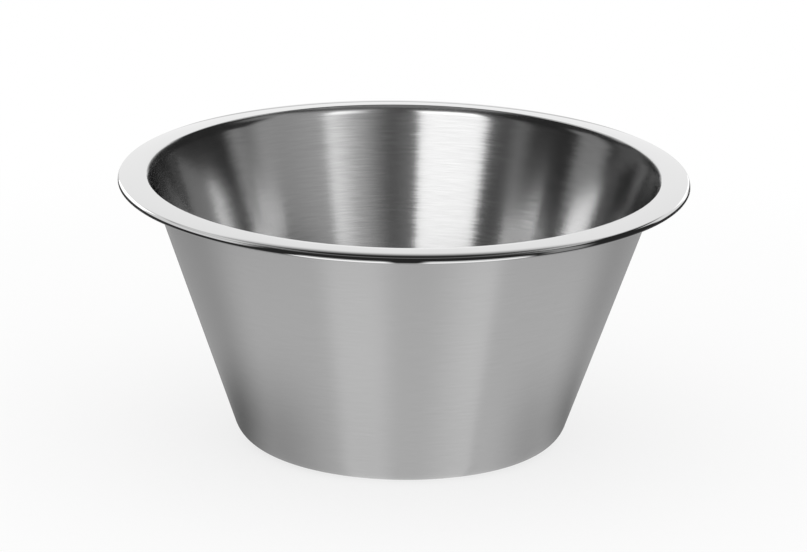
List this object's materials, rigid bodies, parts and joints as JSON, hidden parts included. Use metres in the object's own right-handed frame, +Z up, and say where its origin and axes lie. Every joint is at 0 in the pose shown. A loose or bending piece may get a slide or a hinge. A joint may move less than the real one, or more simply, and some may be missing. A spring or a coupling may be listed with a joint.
{
  "type": "prep bowl",
  "caption": "Conical stainless steel prep bowl with a flat base, a broad flat brim and a turned-down lip, for holding and mixing ingredients.",
  "frame": {"origin": "middle of the base, on the surface that the bowl stands on", "axes": "+Z up along the bowl's axis, towards the mouth; the bowl is round, so +X and +Y are any two directions at right angles to it"},
  "size_m": [0.24, 0.24, 0.115],
  "materials": {
    "steel": "satin brushed round the bowl, polished on the brim and lip"
  },
  "bodies": {
    "root": {"bowl": "steel"}
  },
  "joints": []
}
